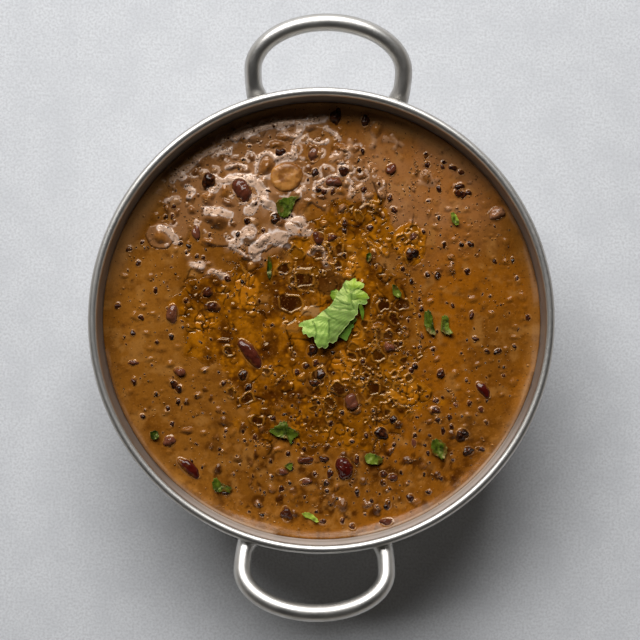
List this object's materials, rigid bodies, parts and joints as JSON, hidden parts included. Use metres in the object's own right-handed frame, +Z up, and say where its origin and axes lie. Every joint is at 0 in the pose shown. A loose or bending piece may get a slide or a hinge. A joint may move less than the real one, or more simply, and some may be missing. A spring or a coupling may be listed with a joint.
{
  "type": "dal makhani in a two-handled pan",
  "caption": "Black lentil and kidney bean curry with coriander on top, in a round shallow steel pan with a rolled rim and a wire loop handle on each side.",
  "frame": {"origin": "centre of the pan's flat base, on the surface it stands on", "axes": "+Z up; the two handles lie along +Y and -Y, with the wider one at +Y"},
  "size_m": [0.22, 0.2846, 0.0753],
  "materials": {
    "steel": "satin, with fine turning lines and light scratches",
    "dal": "wet and glossy brown sauce with ghee, dark black gram showing",
    "kidney_bean": "wet dark red-purple bean skin",
    "onion": "soft, translucent, coated in sauce",
    "coriander": "fresh green leaf, pale along its ribs"
  },
  "bodies": {
    "root": {"pan": "steel", "handle_back": "steel", "handle_front": "steel", "dal": "dal", "onion_slice": "onion", "coriander_leaf": "coriander", "kidney_bean_1": "kidney_bean", "kidney_bean_2": "kidney_bean", "kidney_bean_3": "kidney_bean", "kidney_bean_4": "kidney_bean", "kidney_bean_5": "kidney_bean", "kidney_bean_6": "kidney_bean", "kidney_bean_7": "kidney_bean", "kidney_bean_8": "kidney_bean", "coriander_bit_1": "coriander", "coriander_bit_2": "coriander", "coriander_bit_3": "coriander", "coriander_bit_4": "coriander", "coriander_bit_5": "coriander", "coriander_bit_6": "coriander", "coriander_bit_7": "coriander", "coriander_bit_8": "coriander", "coriander_bit_9": "coriander", "coriander_bit_10": "coriander", "coriander_bit_11": "coriander", "coriander_bit_12": "coriander", "coriander_bit_13": "coriander", "coriander_bit_14": "coriander"}
  },
  "joints": []
}
